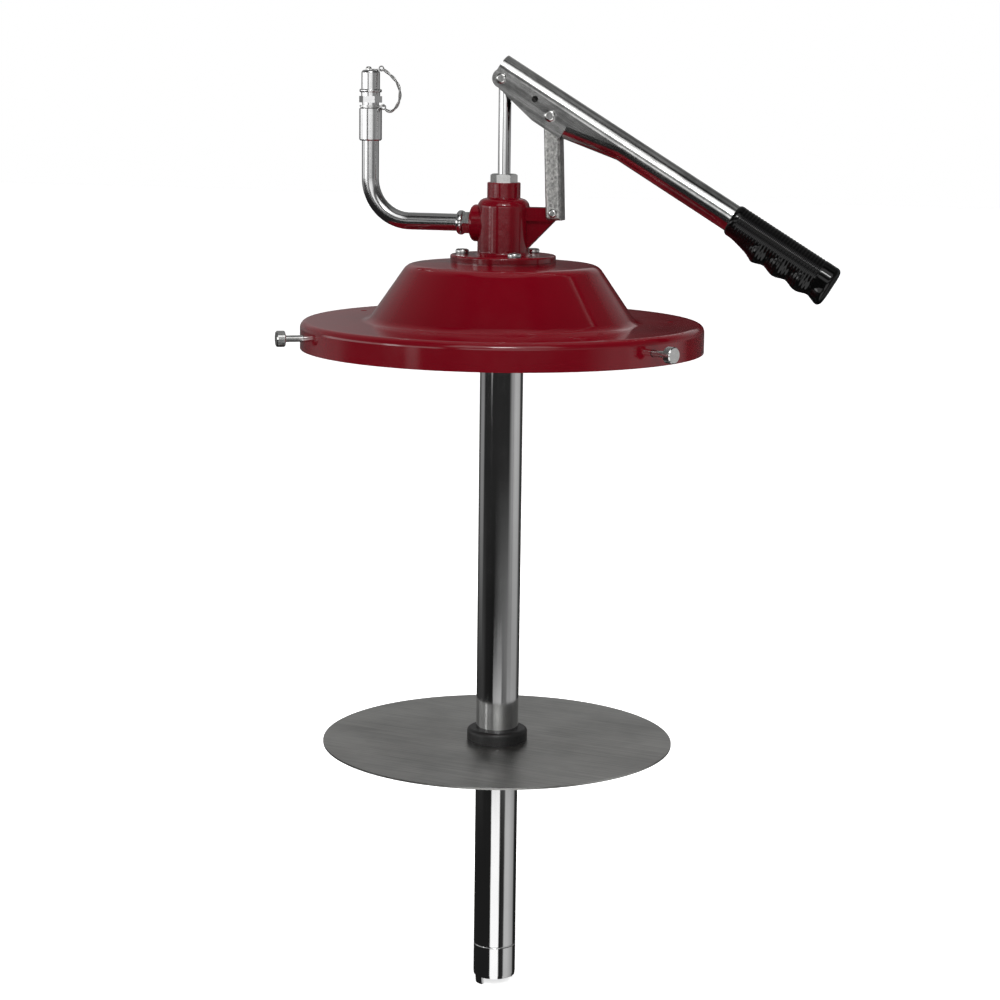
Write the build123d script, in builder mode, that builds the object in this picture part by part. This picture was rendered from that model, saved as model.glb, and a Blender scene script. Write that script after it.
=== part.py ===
from build123d import *
from math import cos, radians, sin
import os

# A hand-lever drum pump for gear oil and grease, in millimetres, +Z up.
# The origin is on the pump's axis, in the underside of the cover's brim, where the drum's rim seats.
# +X points towards the lever and the ear that carries its link; the outlet points towards -X.

# Driving dimensions: cover and pump head
SHEET = 1.5                      # thickness of the pressed cover
COVER_R = 155.0                  # outside of the cover's skirt
SKIRT_BOTTOM = -19.7
DOME_TOP = 46.5
DOME_FLAT_R = 41.0
DOME_SHOULDER = (72.9, 44.1)     # radius and height where the dome's top meets its side
DOME_FOOT_R = 102.9
VENT_HOLES = [(130.0, 19.0), (112.0, -35.0), (130.0, 163.0)]   # radius and angle on the brim
VENT_R = 2.6

GASKET = 1.0
FLANGE_R = 40.5
FLANGE_T = 5.0
BOLT_CIRCLE_R = 32.5
BOLT_ANGLES = [60, 180, 300]
WASHER_T = 1.1
BOLT_HEAD_H = 2.4
BODY_R = 19.8
BODY_TOP = 95.3
NECK_R = 12.7
NECK_TOP = 107.3
CHAMBER_TOP = 88.0
OUTLET_Z = 76.0
BOSS_R = 14.1
BOSS_END = 24.8

# Driving dimensions: tube, rod, piston and foot valve
TUBE_R = 16.7
TUBE_BORE_R = 14.3
TUBE_TOP = 65.5
TUBE_BOTTOM = -524.0
FOOT_BOTTOM = -530.0
FOOT_ANGLE = 233.0
ROD_R = 4.8
ROD_FIT = 0.08                   # radial running clearance round the rod
PIN_R = 2.5
PIN_FIT = 0.05
PISTON_TOP = -404.0
PISTON_BOTTOM = -438.0
VALVE_TOP = -488.0
BALL_GAP = 0.3

# Driving dimensions: lever and link, as pivots in the XZ plane
ROD_EYE_Z = 185.3
FULCRUM = (38.0, 158.0)
LINK_FOOT = (40.6, 85.2)
LEVER_AXIS_POINT = (-2.8, 193.1)  # where the lever tube's centreline meets its head end
LEVER_DROP = 31.2                # degrees that the resting lever falls below the horizontal
LEVER_R = 10.65
LEVER_WALL = 2.0
LEVER_THROAT = 68.0              # where the open head ends and the closed tube starts to form
LEVER_ROUND = 112.0              # where the section has become a plain round tube
LEVER_END = 296.0
CHEEK_DEPTH = 19.5               # depth of the head's cheeks below the centreline
GRIP_START = 208.5
GRIP_END = 301.0
GRIP_R = 12.0
# (along the lever, above its line): the grip's lowest points, crest and hollow in turn
GRIP_UNDERSIDE = [(213, -12.6), (225, -14.3), (237.5, -19.3), (247.5, -16.5), (257, -19.5), (267, -16.7),
                  (276.5, -19.4), (287, -16.3), (296, -17.5), (301, -16.4)]
SWELL_AXIS = -8.0
LINK_HALF_WIDTH = 8.5
LINK_SHEET = 2.0
LINK_BEND_R = 2.9
LINK_HALF_DEPTH = 6.15
EAR_HALF = 6.3

# Driving dimensions: outlet, coupler and dust cap
PIPE_R = 6.6
PIPE_WALL = 1.5
PIPE_X = -106.8
PIPE_BEND_R = 32.0
SLEEVE_R = 8.75
SLEEVE_BOTTOM = 136.7
SLEEVE_TOP = 161.9
HEX_BOTTOM = 165.6
HEX_TOP = 170.5
CAP_BOTTOM = 173.3
CAP_TOP = 190.3
CAP_R = 7.15
TETHER_D = 2.4

# Driving dimensions: follower plate and clamp screws
PLATE_R = 137.4
PLATE_TOP = -329.5
COLLAR_R = 23.7
SCREW_ANGLES = [90, 210, 330]
SCREW_Z = -9.5
SCREW_R = 2.5
SCREW_HEAD_R = 6.15
SCREW_HEAD_AT = 169.0            # radius of the head's inner face


def save(part, name):
    """Label a finished piece and write it as its own STEP file."""
    part.label = name
    export_step(part, f"parts/{name}.step")


def polar(radius, angle):
    """Point at a radius and an angle in degrees about the pump's axis."""
    return (radius * cos(radians(angle)), radius * sin(radians(angle)))


def lever_point(along, up):
    """World X and Z of a point given along the resting lever and square to it."""
    c, s = cos(radians(LEVER_DROP)), sin(radians(LEVER_DROP))
    x0, z0 = LEVER_AXIS_POINT
    return (x0 + along * c + up * s, z0 - along * s + up * c)


def lever_section(along):
    """Plane square to the lever: its X is the pump's Y, its Y points up out of the lever."""
    x, z = lever_point(along, 0)
    c, s = cos(radians(LEVER_DROP)), sin(radians(LEVER_DROP))
    return Plane(origin=(x, 0, z), x_dir=(0, 1, 0), z_dir=(c, 0, -s))


def lever_side():
    """Plane through the lever's centreline: its X runs along the lever."""
    c, s = cos(radians(LEVER_DROP)), sin(radians(LEVER_DROP))
    x0, z0 = LEVER_AXIS_POINT
    return Plane(origin=(x0, 0, z0), x_dir=(c, 0, -s), z_dir=(0, -1, 0))


def link_side():
    """Plane through the link's centreline: origin at its foot pivot, Y towards the fulcrum."""
    dx = FULCRUM[0] - LINK_FOOT[0]
    dz = FULCRUM[1] - LINK_FOOT[1]
    return Plane(origin=(LINK_FOOT[0], 0, LINK_FOOT[1]), x_dir=(dz, 0, -dx), z_dir=(0, -1, 0))


def radial_plane(angle, radius, z):
    """Plane square to a radius of the pump, facing outwards."""
    x, y = polar(radius, angle)
    return Plane(origin=(x, y, z), x_dir=(0, 0, 1), z_dir=(x, y, 0))


def domed_pin(x, z, shank_r, half_grip, head_r, head_h):
    """Pin along Y with a low domed head on each end."""
    with BuildPart() as pin:
        with BuildSketch(Plane((x, 0, z), x_dir=(1, 0, 0), z_dir=(0, -1, 0))):
            Circle(shank_r)
        extrude(amount=half_grip, both=True)
        for side in (-1, 1):
            with BuildSketch(Plane((x, side * half_grip, z), x_dir=(1, 0, 0), z_dir=(0, side, 0))):
                Circle(head_r)
            extrude(amount=head_h)
            rim = pin.edges().filter_by(GeomType.CIRCLE).sort_by(Axis.Y)[-1 if side > 0 else 0]
            fillet(rim, head_h * 0.85)
    return pin.part


os.makedirs("parts", exist_ok=True)

# Cover: one pressed sheet, from the bore round the tube to the skirt's lower edge
mid = SHEET / 2
with BuildPart() as cover:
    with BuildSketch(Plane.XZ):
        with BuildLine():
            FilletPolyline(
                (18.0, DOME_TOP - mid),
                (DOME_FLAT_R, DOME_TOP - mid),
                DOME_SHOULDER,
                (DOME_FOOT_R, mid),
                (COVER_R - mid, mid),
                (COVER_R - mid, SKIRT_BOTTOM),
                radius=[20.0, 9.0, 10.0, 4.5],
            )
        trace(line_width=SHEET)
    revolve(axis=Axis.Z)
    with Locations([(*polar(BOLT_CIRCLE_R, a), DOME_TOP) for a in BOLT_ANGLES]):
        Hole(3.2, depth=10)
    with Locations([(*polar(r, a), SHEET) for r, a in VENT_HOLES]):
        Hole(VENT_R, depth=5)
    for angle in SCREW_ANGLES:
        with BuildSketch(radial_plane(angle, COVER_R - 6, SCREW_Z)):
            Circle(2.8)
        extrude(amount=10, mode=Mode.SUBTRACT)
save(cover.part, "drum_cover")

# Nuts welded inside the skirt, one for each clamp screw
with BuildPart() as weld_nuts:
    for angle in SCREW_ANGLES:
        with BuildSketch(radial_plane(angle, COVER_R - SHEET - 4.5, SCREW_Z)):
            RegularPolygon(8.0 / 2, 6, major_radius=False)
            Circle(SCREW_R + PIN_FIT, mode=Mode.SUBTRACT)
        extrude(amount=8)
    with BuildSketch(Plane.XY.offset(SKIRT_BOTTOM)):
        Circle(COVER_R - SHEET)
    extrude(amount=25, mode=Mode.INTERSECT)
save(weld_nuts.part, "cover_weld_nuts")

# Gasket between the cover and the pump head
with BuildPart() as gasket:
    with BuildSketch(Plane.XY.offset(DOME_TOP)):
        Circle(FLANGE_R)
        Circle(18.0, mode=Mode.SUBTRACT)
        with Locations([polar(BOLT_CIRCLE_R, a) for a in BOLT_ANGLES]):
            Circle(3.2, mode=Mode.SUBTRACT)
    extrude(amount=GASKET)
save(gasket.part, "head_gasket")

# Pump head: cast body with flange, packing neck, outlet boss and the ear for the link
flange_z = DOME_TOP + GASKET
flange_top = flange_z + FLANGE_T
ear_x, ear_z = LINK_FOOT
with BuildPart() as head:
    with BuildSketch(Plane.XZ):
        with BuildLine():
            FilletPolyline(
                (0, flange_z),
                (FLANGE_R, flange_z),
                (FLANGE_R, flange_top),
                (BODY_R, flange_top),
                (BODY_R, BODY_TOP),
                (NECK_R, BODY_TOP),
                (NECK_R, NECK_TOP),
                (0, NECK_TOP),
                radius=[0.3, 1.4, 2.5, 6.5, 1.0, 0.8],
            )
            Line((0, NECK_TOP), (0, flange_z))
        make_face()
    revolve(axis=Axis.Z)
    # outlet boss
    with BuildSketch(Plane((0, 0, OUTLET_Z), x_dir=(0, 1, 0), z_dir=(-1, 0, 0))):
        Circle(BOSS_R)
    extrude(amount=BOSS_END)
    boss_rim = head.edges().filter_by(GeomType.CIRCLE).filter_by(lambda e: abs(e.radius - BOSS_R) < 0.01)
    fillet(boss_rim.sort_by(Axis.X)[0], 3.0)
    # ear block, rounded round the link's foot pivot, and the thinner gusset under it
    with BuildSketch(Plane.XZ):
        with BuildLine():
            Polyline((10, 78.9), (10, 89.0), (ear_x - 1.5, 89.0))
            ThreePointArc((ear_x - 1.5, 89.0), (ear_x + 3.6, ear_z), (ear_x - 0.6, 78.9))
            Line((ear_x - 0.6, 78.9), (10, 78.9))
        make_face()
    extrude(amount=EAR_HALF, both=True)
    with BuildSketch(Plane.XZ):
        Polygon((10, 79.5), (ear_x - 0.4, 79.5), (ear_x - 0.6, 78.7), (20.0, 58.3), (10, 58.3), align=None)
    extrude(amount=3.6, both=True)
    # tube socket, oil chamber, rod bore and packing bore
    with BuildSketch(Plane.XY.offset(flange_z)):
        Circle(TUBE_R)
    extrude(amount=TUBE_TOP - flange_z, mode=Mode.SUBTRACT)
    with BuildSketch(Plane.XY.offset(TUBE_TOP)):
        Circle(TUBE_BORE_R)
    extrude(amount=CHAMBER_TOP - TUBE_TOP, mode=Mode.SUBTRACT)
    with Locations((0, 0, NECK_TOP)):
        CounterBoreHole(ROD_R + ROD_FIT, 9.0, 15.0, depth=NECK_TOP - CHAMBER_TOP + 1)
    # outlet port
    with BuildSketch(Plane((-BOSS_END, 0, OUTLET_Z), x_dir=(0, 1, 0), z_dir=(1, 0, 0))):
        Circle(8.0)
    extrude(amount=9, mode=Mode.SUBTRACT)
    with BuildSketch(Plane((-BOSS_END, 0, OUTLET_Z), x_dir=(0, 1, 0), z_dir=(1, 0, 0))):
        Circle(4.5)
    extrude(amount=20, mode=Mode.SUBTRACT)
    # pivot hole in the ear and the three flange holes
    with BuildSketch(Plane((ear_x, 0, ear_z), x_dir=(1, 0, 0), z_dir=(0, -1, 0))):
        Circle(2.2)
    extrude(amount=10, both=True, mode=Mode.SUBTRACT)
    with Locations([(*polar(BOLT_CIRCLE_R, a), flange_top) for a in BOLT_ANGLES]):
        Hole(3.2, depth=10)
save(head.part, "pump_head")

# Head bolts with lock washers above the flange and nuts under the cover
washer_top = flange_top + WASHER_T
with BuildPart() as washers:
    with BuildSketch(Plane.XY.offset(flange_top)):
        with Locations([polar(BOLT_CIRCLE_R, a) for a in BOLT_ANGLES]):
            Circle(5.0)
            Circle(3.1, mode=Mode.SUBTRACT)
    extrude(amount=WASHER_T)
save(washers.part, "head_lock_washers")

with BuildPart() as bolts:
    with BuildSketch(Plane.XY.offset(DOME_TOP - SHEET - 8)):
        with Locations([polar(BOLT_CIRCLE_R, a) for a in BOLT_ANGLES]):
            Circle(3.0)
    extrude(amount=washer_top - DOME_TOP + SHEET + 8)
    with BuildSketch(Plane.XY.offset(washer_top)):
        with Locations([polar(BOLT_CIRCLE_R, a) for a in BOLT_ANGLES]):
            Circle(5.25)
    extrude(amount=BOLT_HEAD_H)
    fillet(bolts.edges().filter_by(GeomType.CIRCLE).group_by(Axis.Z)[-1], 1.6)
    with BuildSketch(Plane.XY.offset(washer_top + BOLT_HEAD_H)):
        with Locations([polar(BOLT_CIRCLE_R, a) for a in BOLT_ANGLES]):
            RegularPolygon(2.0, 6, major_radius=False)
    extrude(amount=-1.3, mode=Mode.SUBTRACT)
save(bolts.part, "head_bolts")

with BuildPart() as head_nuts:
    with BuildSketch(Plane.XY.offset(DOME_TOP - SHEET - 5)):
        with Locations([polar(BOLT_CIRCLE_R, a) for a in BOLT_ANGLES]):
            RegularPolygon(5.0, 6, major_radius=False)
            Circle(3.0, mode=Mode.SUBTRACT)
    extrude(amount=5)
save(head_nuts.part, "head_nuts")

# Rod packing: a washer, three rings and the gland nut that squeezes them
packing_z = NECK_TOP - 15.0
with BuildPart() as packing_washer:
    with BuildSketch(Plane.XY.offset(packing_z)):
        Circle(9.0)
        Circle(ROD_R + ROD_FIT, mode=Mode.SUBTRACT)
    extrude(amount=1.5)
save(packing_washer.part, "packing_washer")

with BuildPart() as packing:
    for ring in range(3):
        with BuildSketch(Plane.XY.offset(packing_z + 1.5 + ring * 2.8)):
            Circle(9.0)
            Circle(ROD_R + ROD_FIT, mode=Mode.SUBTRACT)
        extrude(amount=2.6)
save(packing.part, "packing_rings")

with BuildPart() as gland:
    with BuildSketch(Plane.XY.offset(NECK_TOP - 5.0)):
        Circle(9.0)
    extrude(amount=5.0)
    with BuildSketch(Plane.XY.offset(NECK_TOP)):
        RegularPolygon(9.0, 6, major_radius=False, rotation=12)
    extrude(amount=6.4)
    with BuildSketch(Plane.XZ):
        Polygon((8.9, NECK_TOP + 6.4), (11.5, NECK_TOP + 6.4), (11.5, NECK_TOP + 4.9), align=None)
    revolve(axis=Axis.Z, mode=Mode.SUBTRACT)
    with Locations((0, 0, NECK_TOP + 6.4)):
        Hole(ROD_R + ROD_FIT, depth=12)
save(gland.part, "gland_nut")

# Suction tube with two feet left standing at its lower end
with BuildPart() as tube:
    with BuildSketch(Plane.XY.offset(FOOT_BOTTOM)):
        Circle(TUBE_R)
        Circle(TUBE_BORE_R, mode=Mode.SUBTRACT)
    extrude(amount=TUBE_TOP - FOOT_BOTTOM)
    with BuildSketch(Plane.XY.offset(FOOT_BOTTOM)):
        Circle(TUBE_R + 1)
        Rectangle(60, 8.0, rotation=FOOT_ANGLE, mode=Mode.SUBTRACT)
    extrude(amount=TUBE_BOTTOM - FOOT_BOTTOM, mode=Mode.SUBTRACT)
    with BuildSketch(Plane.XZ):
        Polygon(
            (TUBE_R - 0.9, FOOT_BOTTOM),
            (TUBE_R + 0.1, FOOT_BOTTOM),
            (TUBE_R + 0.1, TUBE_BOTTOM + 2.5),
            (TUBE_R, TUBE_BOTTOM + 2.5),
            align=None,
        )
    revolve(axis=Axis.Z, mode=Mode.SUBTRACT)
    # shallow rolled groove that stakes the foot valve
    with BuildSketch(Plane.XZ):
        with Locations((TUBE_R + 0.5, VALVE_TOP - 10)):
            Circle(0.9)
    revolve(axis=Axis.Z, mode=Mode.SUBTRACT)
save(tube.part, "suction_tube")

# Foot valve: body with its seat, a steel ball and the cross pin that stops it
FOOT_SEAT_Z = -512.0
FOOT_BALL_R = 7.5
FOOT_PORT_R = 6.0
foot_ball_z = FOOT_SEAT_Z + (FOOT_BALL_R**2 - FOOT_PORT_R**2) ** 0.5 + BALL_GAP
FOOT_PIN_Z = -492.6
with BuildPart() as foot_valve:
    with BuildSketch(Plane.XY.offset(TUBE_BOTTOM)):
        Circle(TUBE_BORE_R)
    extrude(amount=VALVE_TOP - TUBE_BOTTOM)
    with Locations((0, 0, VALVE_TOP)):
        CounterBoreHole(FOOT_PORT_R, 9.5, VALVE_TOP - FOOT_SEAT_Z, depth=VALVE_TOP - TUBE_BOTTOM)
    with BuildSketch(Plane((0, 0, FOOT_PIN_Z), x_dir=(1, 0, 0), z_dir=(0, 1, 0))):
        Circle(1.5)
    extrude(amount=20, both=True, mode=Mode.SUBTRACT)
save(foot_valve.part, "foot_valve_body")

with BuildPart() as foot_ball:
    with Locations((0, 0, foot_ball_z)):
        Sphere(FOOT_BALL_R)
save(foot_ball.part, "foot_valve_ball")

with BuildPart() as foot_pin:
    with BuildSketch(Plane((0, 0, FOOT_PIN_Z), x_dir=(1, 0, 0), z_dir=(0, 1, 0))):
        Circle(1.5)
    extrude(amount=13.6, both=True)
save(foot_pin.part, "foot_valve_pin")

# Piston rod, from its eye under the lever down to the piston
ROD_BOTTOM = -412.0
with BuildPart() as rod:
    with BuildSketch(Plane.XY.offset(ROD_BOTTOM)):
        Circle(ROD_R)
    extrude(amount=ROD_EYE_Z + 6.0 - ROD_BOTTOM)
    chamfer(rod.edges().group_by(Axis.Z)[-1], 1.5)
    with BuildSketch(Plane((0, 0, ROD_EYE_Z), x_dir=(1, 0, 0), z_dir=(0, 1, 0))):
        Circle(PIN_R + PIN_FIT)
    extrude(amount=10, both=True, mode=Mode.SUBTRACT)
save(rod.part, "piston_rod")

# Piston: body with grooves for two cup seals, and a check ball in its cage
PISTON_R = 13.8
PISTON_PORT_R = 4.2
PISTON_BALL_R = 5.5
PISTON_SEAT_Z = -428.0
CAGE_TOP = -414.0
SEAL_BOTTOMS = [-436.5, -431.5]
SEAL_H = 3.6
SEAL_ROOT_R = 11.0
piston_ball_z = PISTON_SEAT_Z + (PISTON_BALL_R**2 - PISTON_PORT_R**2) ** 0.5 + BALL_GAP
with BuildPart() as piston:
    with BuildSketch(Plane.XY.offset(PISTON_BOTTOM)):
        Circle(PISTON_R)
    extrude(amount=PISTON_TOP - PISTON_BOTTOM)
    chamfer(piston.edges().group_by(Axis.Z)[-1], 3.0)
    with BuildSketch(Plane.XY.offset(PISTON_BOTTOM)):
        Circle(PISTON_PORT_R)
    extrude(amount=PISTON_SEAT_Z - PISTON_BOTTOM, mode=Mode.SUBTRACT)
    with BuildSketch(Plane.XY.offset(PISTON_SEAT_Z)):
        Circle(7.0)
    extrude(amount=CAGE_TOP - PISTON_SEAT_Z, mode=Mode.SUBTRACT)
    with BuildSketch(Plane.XY.offset(ROD_BOTTOM)):
        Circle(ROD_R)
    extrude(amount=PISTON_TOP - ROD_BOTTOM, mode=Mode.SUBTRACT)
    for angle in (0, 90, 180, 270):
        with BuildSketch(radial_plane(angle, 5.0, -418.5)):
            Circle(3.0)
        extrude(amount=12, mode=Mode.SUBTRACT)
    for z in SEAL_BOTTOMS:
        with BuildSketch(Plane.XY.offset(z)):
            Circle(PISTON_R + 1)
            Circle(SEAL_ROOT_R, mode=Mode.SUBTRACT)
        extrude(amount=SEAL_H, mode=Mode.SUBTRACT)
save(piston.part, "piston_body")

with BuildPart() as seals:
    for z in SEAL_BOTTOMS:
        with BuildSketch(Plane.XY.offset(z)):
            Circle(TUBE_BORE_R - 0.06)
            Circle(SEAL_ROOT_R, mode=Mode.SUBTRACT)
        extrude(amount=SEAL_H)
save(seals.part, "piston_seals")

with BuildPart() as piston_ball:
    with Locations((0, 0, piston_ball_z)):
        Sphere(PISTON_BALL_R)
save(piston_ball.part, "piston_valve_ball")

# Lever: a pipe slit and opened into two cheeks at its head
inner_r = LEVER_R - LEVER_WALL
eye_s, eye_t = 6.4, -5.2          # the rod pin, along and up from the lever's head end
eye_round = 7.4
slot_h = LEVER_R + CHEEK_DEPTH
slot_mid = (LEVER_R - CHEEK_DEPTH) / 2
with BuildPart() as lever:
    # open head: two cheeks joined over the top
    with BuildSketch(lever_section(-1.0)):
        Circle(LEVER_R)
        with Locations((0, -CHEEK_DEPTH / 2)):
            Rectangle(2 * LEVER_R, CHEEK_DEPTH)
    extrude(amount=LEVER_THROAT + 1.0)
    with BuildSketch(lever_side()):
        with BuildLine():
            Polyline((0, -1.5), (0, LEVER_R + 1), (LEVER_THROAT, LEVER_R + 1), (LEVER_THROAT, -CHEEK_DEPTH))
            Line((LEVER_THROAT, -CHEEK_DEPTH), (43.0, -CHEEK_DEPTH + 0.2))
            Line((43.0, -CHEEK_DEPTH + 0.2), (eye_s + 1.2, eye_t - eye_round + 0.1))
            ThreePointArc(
                (eye_s + 1.2, eye_t - eye_round + 0.1),
                (eye_s - eye_round, eye_t),
                (0, -1.5),
            )
        make_face()
    extrude(amount=LEVER_R + 1, both=True, mode=Mode.INTERSECT)
    # forming length: the deep section draws in to the round tube
    with BuildSketch(lever_section(LEVER_THROAT)):
        with Locations((0, slot_mid)):
            SlotOverall(slot_h, 2 * LEVER_R, rotation=90)
    with BuildSketch(lever_section(LEVER_ROUND)):
        SlotOverall(2 * LEVER_R + 0.02, 2 * LEVER_R, rotation=90)
    loft()
    with BuildSketch(lever_section(LEVER_ROUND)):
        Circle(LEVER_R)
    extrude(amount=LEVER_END - LEVER_ROUND)
    # hollow: channel in the head, then the bore
    with BuildSketch(lever_section(-2.0)):
        Circle(inner_r)
        with Locations((0, -CHEEK_DEPTH / 2 - 2)):
            Rectangle(2 * inner_r, CHEEK_DEPTH + 4)
    extrude(amount=LEVER_THROAT + 2.0, mode=Mode.SUBTRACT)
    with BuildSketch(lever_section(LEVER_THROAT)):
        with Locations((0, slot_mid)):
            SlotOverall(slot_h - 2 * LEVER_WALL, 2 * inner_r, rotation=90)
    with BuildSketch(lever_section(LEVER_ROUND)):
        SlotOverall(2 * inner_r + 0.02, 2 * inner_r, rotation=90)
    loft(mode=Mode.SUBTRACT)
    with BuildSketch(lever_section(LEVER_ROUND)):
        Circle(inner_r)
    extrude(amount=LEVER_END - LEVER_ROUND, mode=Mode.SUBTRACT)
    # holes for the rod pin, the fulcrum pin and the spare hole between them
    for x, z in [(0, ROD_EYE_Z), FULCRUM, lever_point(36.6, -4.6)]:
        with BuildSketch(Plane((x, 0, z), x_dir=(1, 0, 0), z_dir=(0, 1, 0))):
            Circle(PIN_R)
        extrude(amount=LEVER_R + 1, both=True, mode=Mode.SUBTRACT)
save(lever.part, "lever_arm")

# Grip: a rubber sleeve with four finger swells underneath, turned about a line below the lever's own
swell_line = [lever_point(s, t) for s, t in GRIP_UNDERSIDE]
swell_start = lever_point(GRIP_UNDERSIDE[0][0], SWELL_AXIS)
swell_end = lever_point(GRIP_END, SWELL_AXIS)
with BuildPart() as grip:
    with BuildSketch(Plane.XZ):
        with BuildLine():
            Line(swell_end, swell_start)
            Line(swell_start, swell_line[0])
            Spline(*swell_line)
            Line(swell_line[-1], swell_end)
        make_face()
    revolve(axis=Axis((swell_start[0], 0, swell_start[1]),
                      (swell_end[0] - swell_start[0], 0, swell_end[1] - swell_start[1])))
    with BuildSketch(lever_section(GRIP_START)):
        Circle(GRIP_R)
    extrude(amount=GRIP_END - GRIP_START)
    with BuildSketch(lever_section(GRIP_START - 1)):
        Circle(LEVER_R)
    extrude(amount=LEVER_END - GRIP_START + 1, mode=Mode.SUBTRACT)
save(grip.part, "lever_grip")

save(domed_pin(0, ROD_EYE_Z, PIN_R, LEVER_R, 4.2, 2.3), "rod_pin")
save(domed_pin(*FULCRUM, PIN_R, LEVER_R, 4.6, 2.5), "fulcrum_pin")
save(domed_pin(ear_x, ear_z, 2.2, LINK_HALF_WIDTH, 3.4, 2.0), "link_pin")

# Link: channel standing on the ear, its web facing away from the pump
LINK_TOP = 78.6
WEB_TOP = 60.4
LINK_BOTTOM = -5.6
SLOT_UP = 72.4                    # a little below the pin, which dips as the lever swings
SLOT_HALF = 3.5
web_inner = LINK_HALF_DEPTH - LINK_SHEET
with BuildPart() as link:
    with BuildSketch(link_side()):
        with BuildLine():
            FilletPolyline(
                (-LINK_HALF_DEPTH, LINK_BOTTOM),
                (LINK_HALF_DEPTH, LINK_BOTTOM),
                (LINK_HALF_DEPTH, LINK_TOP),
                (-LINK_HALF_DEPTH, LINK_TOP),
                close=True,
                radius=[3.0, 0, 5.0, 5.0],
            )
        make_face()
    extrude(amount=LINK_HALF_WIDTH, both=True)
    long_edges = link.edges().filter_by(lambda e: e.length > LINK_TOP - 10)
    fillet(long_edges.sort_by(Axis.X)[-2:], LINK_BEND_R)
    with BuildSketch(link_side()):
        with Locations((web_inner, LINK_BOTTOM)):
            Rectangle(30, 120, align=(Align.MAX, Align.CENTER))
        with Locations((0, WEB_TOP)):
            Rectangle(30, 40, align=(Align.CENTER, Align.MIN))
    extrude(amount=LINK_HALF_WIDTH - LINK_SHEET, both=True, mode=Mode.SUBTRACT)
    with BuildSketch(link_side()):
        Circle(2.2 + PIN_FIT)
        # open slot that the fulcrum pin runs in
        with Locations((0, SLOT_UP)):
            Circle(SLOT_HALF)
            Rectangle(20, 2 * SLOT_HALF, align=(Align.MIN, Align.CENTER))
    extrude(amount=LINK_HALF_WIDTH + 1, both=True, mode=Mode.SUBTRACT)
save(link.part, "link_channel")

# Outlet: adapter screwed into the boss, collar on the pipe, and the bent pipe
with BuildPart() as adapter:
    with BuildSketch(Plane((-BOSS_END + 8.5, 0, OUTLET_Z), x_dir=(0, 1, 0), z_dir=(-1, 0, 0))):
        Circle(8.0)
    extrude(amount=8.5)
    with BuildSketch(Plane((-BOSS_END, 0, OUTLET_Z), x_dir=(0, 1, 0), z_dir=(-1, 0, 0))):
        RegularPolygon(7.9, 6, major_radius=False)
    extrude(amount=6.0)
    with BuildSketch(Plane((-BOSS_END + 8.5, 0, OUTLET_Z), x_dir=(0, 1, 0), z_dir=(-1, 0, 0))):
        Circle(4.5)
    extrude(amount=10.5, mode=Mode.SUBTRACT)
    with BuildSketch(Plane((-BOSS_END - 2, 0, OUTLET_Z), x_dir=(0, 1, 0), z_dir=(-1, 0, 0))):
        Circle(PIPE_R)
    extrude(amount=8, mode=Mode.SUBTRACT)
save(adapter.part, "outlet_adapter")

collar_x = -BOSS_END - 6.0
with BuildPart() as collar:
    with BuildSketch(Plane((collar_x, 0, OUTLET_Z), x_dir=(0, 1, 0), z_dir=(-1, 0, 0))):
        Circle(9.35)
    extrude(amount=5.4)
    fillet(collar.edges().filter_by(GeomType.CIRCLE), 2.2)
    with BuildSketch(Plane((collar_x + 1, 0, OUTLET_Z), x_dir=(0, 1, 0), z_dir=(-1, 0, 0))):
        Circle(PIPE_R)
    extrude(amount=8, mode=Mode.SUBTRACT)
save(collar.part, "pipe_collar")

pipe_start = -BOSS_END - 2.0
pipe_end = SLEEVE_BOTTOM + 12.0
with BuildPart() as pipe:
    with BuildLine():
        FilletPolyline(
            (pipe_start, 0, OUTLET_Z),
            (PIPE_X, 0, OUTLET_Z),
            (PIPE_X, 0, pipe_end),
            radius=PIPE_BEND_R,
        )
    with BuildSketch(Plane((pipe_start, 0, OUTLET_Z), x_dir=(0, 1, 0), z_dir=(-1, 0, 0))):
        Circle(PIPE_R)
        Circle(PIPE_R - PIPE_WALL, mode=Mode.SUBTRACT)
    sweep()
save(pipe.part, "outlet_pipe")

# Coupler on top of the pipe: sleeve, body with its nose, check poppet and spring
with BuildPart() as sleeve:
    with BuildSketch(Plane((PIPE_X, 0, SLEEVE_BOTTOM))):
        Circle(SLEEVE_R)
    extrude(amount=SLEEVE_TOP - SLEEVE_BOTTOM)
    chamfer(sleeve.edges().filter_by(GeomType.CIRCLE), 1.0)
    with BuildSketch(Plane((PIPE_X, 0, SLEEVE_BOTTOM))):
        Circle(PIPE_R)
    extrude(amount=SLEEVE_TOP - SLEEVE_BOTTOM, mode=Mode.SUBTRACT)
save(sleeve.part, "coupler_sleeve")

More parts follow.
